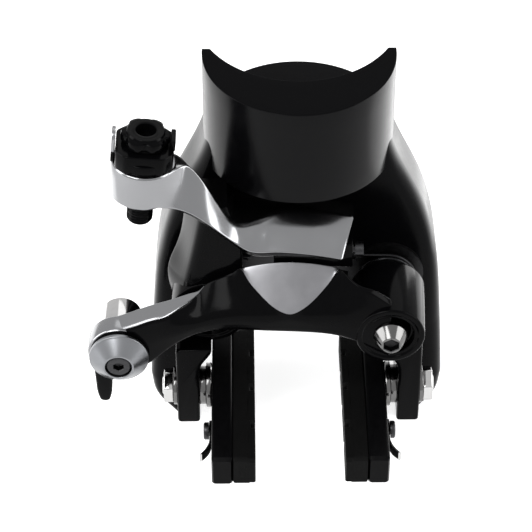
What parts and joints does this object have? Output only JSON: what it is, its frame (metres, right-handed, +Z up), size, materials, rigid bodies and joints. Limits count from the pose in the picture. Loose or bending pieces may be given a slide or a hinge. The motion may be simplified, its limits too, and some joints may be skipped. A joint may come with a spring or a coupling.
{
  "type": "rim brake caliper",
  "caption": "Direct-mount dual-pivot rim brake caliper with two arms, grooved pads, cable adjuster and cable anchor, bolted to a short section of fork crown and stays.",
  "frame": {"origin": "on the boss face of the frame section, midway between the two pivot bolts", "axes": "+Z up, -Y to the front of the brake, +X to the viewer's right"},
  "size_m": [0.1135, 0.0955, 0.1404],
  "materials": {
    "black_chrome": "lacquered carbon fibre, dark glossy",
    "black_gloss": "gloss black anodised",
    "black_satin": "satin black anodised",
    "silver": "satin silver",
    "polished_steel": "polished",
    "steel": "plain steel",
    "dark_steel": "blackened steel",
    "bronze": "sintered bronze",
    "black_rubber": "matte",
    "pad_rubber": "matte black"
  },
  "bodies": {
    "frame": {"frame_crown": "black_chrome", "frame_bridge": "black_chrome", "left_stay": "black_chrome", "right_stay": "black_chrome", "boss_inserts": "steel", "back_plate": "steel", "left_pivot_sleeve": "steel", "right_pivot_sleeve": "steel", "left_mounting_bolt": "polished_steel", "right_mounting_bolt": "polished_steel"},
    "anchor_side": {"anchor_arm": "black_gloss", "anchor_arm_bush": "bronze", "cable_clamp_plate": "black_gloss", "anchor_cap": "silver", "anchor_bolt": "dark_steel", "anchor_nut": "polished_steel", "link_pin": "steel", "right_return_spring": "steel"},
    "roller": {"link_roller": "bronze"},
    "adjuster_side": {"adjuster_arm": "silver", "adjuster_arm_bush": "bronze", "release_block": "black_gloss", "left_return_spring": "steel"},
    "centring": {"centring_screw": "dark_steel"},
    "lever": {"release_lever": "silver"},
    "adjuster_lift": {"adjuster_o_ring": "black_rubber"},
    "adjuster": {"cable_adjuster": "black_gloss"},
    "left_shoe": {"left_shoe_holder": "black_satin", "left_brake_pad": "pad_rubber", "left_pad_screw": "dark_steel", "left_pad_clip": "steel", "left_shoe_stud": "polished_steel", "left_shoe_washers": "polished_steel", "left_shoe_nut": "polished_steel"},
    "right_shoe": {"right_shoe_holder": "black_satin", "right_brake_pad": "pad_rubber", "right_pad_screw": "dark_steel", "right_pad_clip": "steel", "right_shoe_stud": "polished_steel", "right_shoe_washers": "polished_steel", "right_shoe_nut": "polished_steel"}
  },
  "joints": [
    {"name": "anchor_arm_pivot", "type": "hinge", "parent": "frame", "child": "anchor_side", "pos_m": [0.028, -0.02, 0], "axis": [0, 1, 0], "range_deg": [0, 7], "stiffness_Nm_per_rad": 0.35, "springref_deg": -28.65, "deforming": ["right_return_spring"]},
    {"name": "adjuster_arm_pivot", "type": "hinge", "parent": "frame", "child": "adjuster_side", "pos_m": [-0.028, -0.01, 0], "axis": [0, -1, 0], "range_deg": [0, 7], "stiffness_Nm_per_rad": 0.35, "springref_deg": -28.65, "deforming": ["left_return_spring"]},
    {"name": "roller_spin", "type": "hinge", "parent": "anchor_side", "child": "roller", "pos_m": [0, -0.016, 0.0155], "axis": [0, 1, 0], "continuous": true},
    {"name": "centring_screw_turn", "type": "hinge", "parent": "adjuster_side", "child": "centring", "pos_m": [0.017, -0.0157, 0.0226], "axis": [1, 0, 0], "range_deg": [-180, 180]},
    {"name": "release_lever_turn", "type": "hinge", "parent": "adjuster_side", "child": "lever", "pos_m": [-0.04611, -0.018, 0.06383], "axis": [-0.9954, 0, 0.0958], "range_deg": [0, 90]},
    {"name": "adjuster_rise", "type": "slide", "parent": "adjuster_side", "child": "adjuster_lift", "axis": [0.0958, 0, 0.9954], "range_m": [0, 0.004]},
    {"name": "adjuster_turn", "type": "hinge", "parent": "adjuster_lift", "child": "adjuster", "pos_m": [-0.04645, -0.018, 0.06034], "axis": [0.0958, 0, 0.9954], "range_deg": [0, 1440]},
    {"name": "left_shoe_height", "type": "slide", "parent": "adjuster_side", "child": "left_shoe", "axis": [0, 0, 1], "range_m": [-0.003, 0.003]},
    {"name": "right_shoe_height", "type": "slide", "parent": "anchor_side", "child": "right_shoe", "axis": [0, 0, 1], "range_m": [-0.003, 0.003]}
  ],
  "couplings": [
    {"joint": "adjuster_arm_pivot", "follows": "anchor_arm_pivot", "ratio": 1},
    {"joint": "adjuster_rise", "follows": "adjuster_turn", "m_per_rad": 0.00015915}
  ]
}
